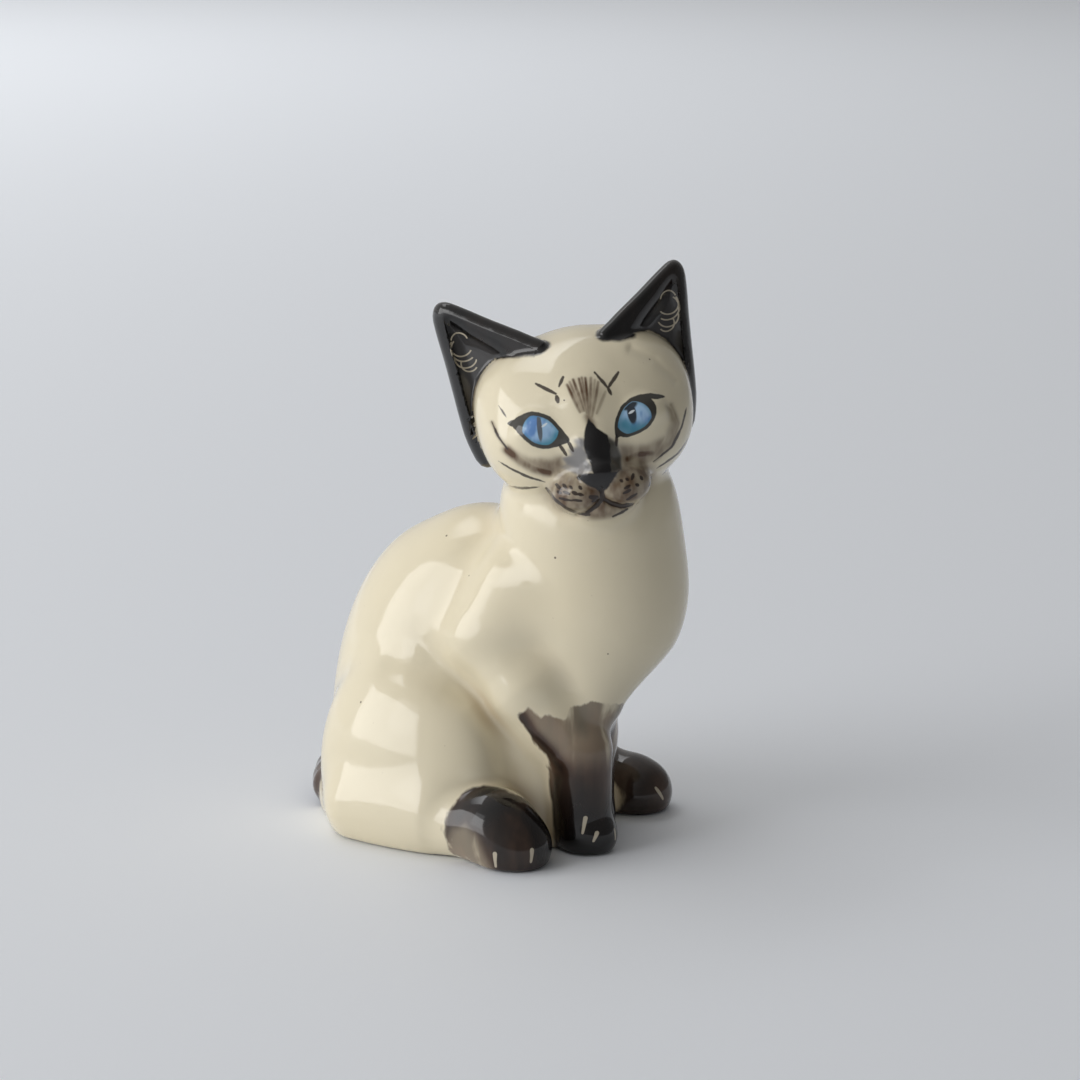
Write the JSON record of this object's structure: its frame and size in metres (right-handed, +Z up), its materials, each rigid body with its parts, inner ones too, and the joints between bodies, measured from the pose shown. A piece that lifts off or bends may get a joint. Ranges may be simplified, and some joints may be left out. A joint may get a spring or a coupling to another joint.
{
  "type": "ceramic cat figurine",
  "caption": "Seated glazed earthenware cat with its head turned to its right, cream with dark ears, mask, paws and tail, on a flat base.",
  "frame": {"origin": "middle of the flat base, on the surface it stands on", "axes": "+Z up, the body faces -Y, the cat's left side is +X"},
  "size_m": [0.0854, 0.1094, 0.1448],
  "materials": {
    "cream_glaze": "gloss",
    "seal_glaze": "gloss"
  },
  "bodies": {
    "root": {"body": "cream_glaze", "head": "cream_glaze", "left_ear": "seal_glaze", "right_ear": "seal_glaze", "left_foreleg": "seal_glaze", "right_foreleg": "seal_glaze", "left_hind_paw": "seal_glaze", "right_hind_paw": "seal_glaze", "tail": "seal_glaze"}
  },
  "joints": []
}
